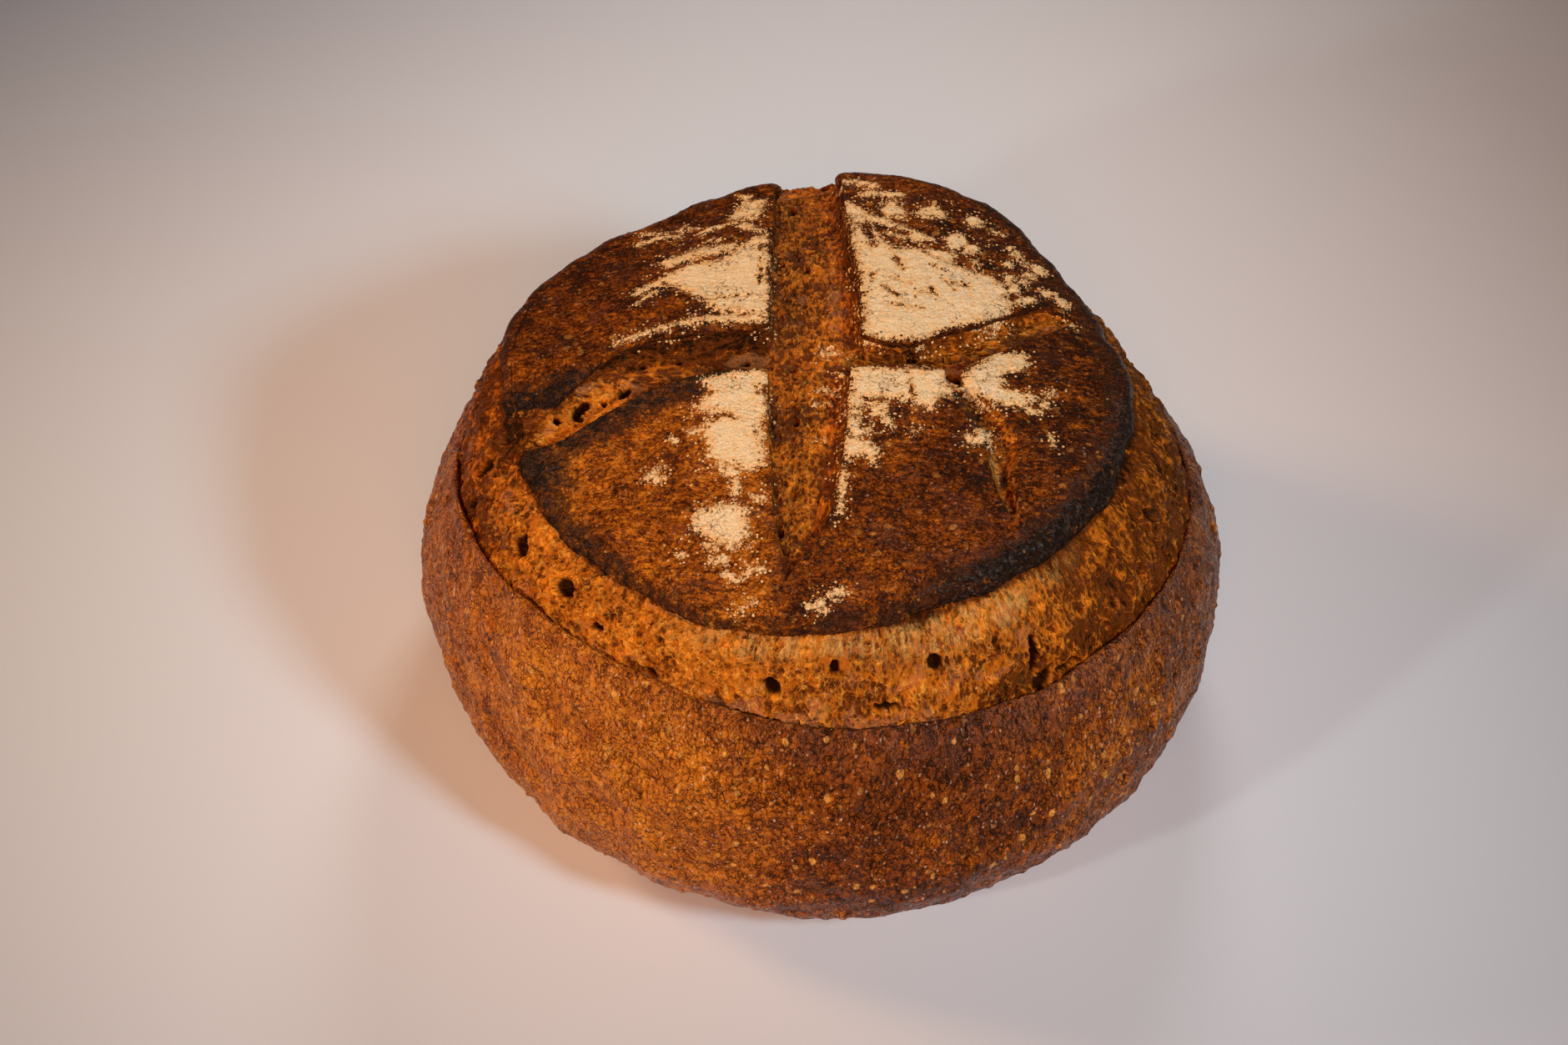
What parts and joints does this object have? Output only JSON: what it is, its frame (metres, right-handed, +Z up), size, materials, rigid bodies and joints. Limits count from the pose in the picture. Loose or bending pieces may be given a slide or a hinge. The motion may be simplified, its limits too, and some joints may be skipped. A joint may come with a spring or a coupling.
{
  "type": "sourdough loaf",
  "caption": "Round, dark-baked sourdough loaf with a lifted lid of crust above a torn band of crumb, crossing cuts in the lid and patches of flour on it.",
  "frame": {"origin": "centre of the loaf's outline in plan, on the flat base that it stands on", "axes": "+Z up through the lid, -Y towards the front, where the lip dips and the torn band is tallest"},
  "size_m": [0.2302, 0.2286, 0.1219],
  "materials": {
    "crust": "dark red-brown baked crust with fine golden blisters and black-brown edges, satin with small glints",
    "crumb": "torn, baked crumb, golden to orange-brown, fibrous and full of small pores, matte with a few waxy spots",
    "flour": "warm cream dusting flour, dry, matte and grainy, cracked where it is thick"
  },
  "bodies": {
    "root": {"loaf": "crust"}
  },
  "joints": []
}
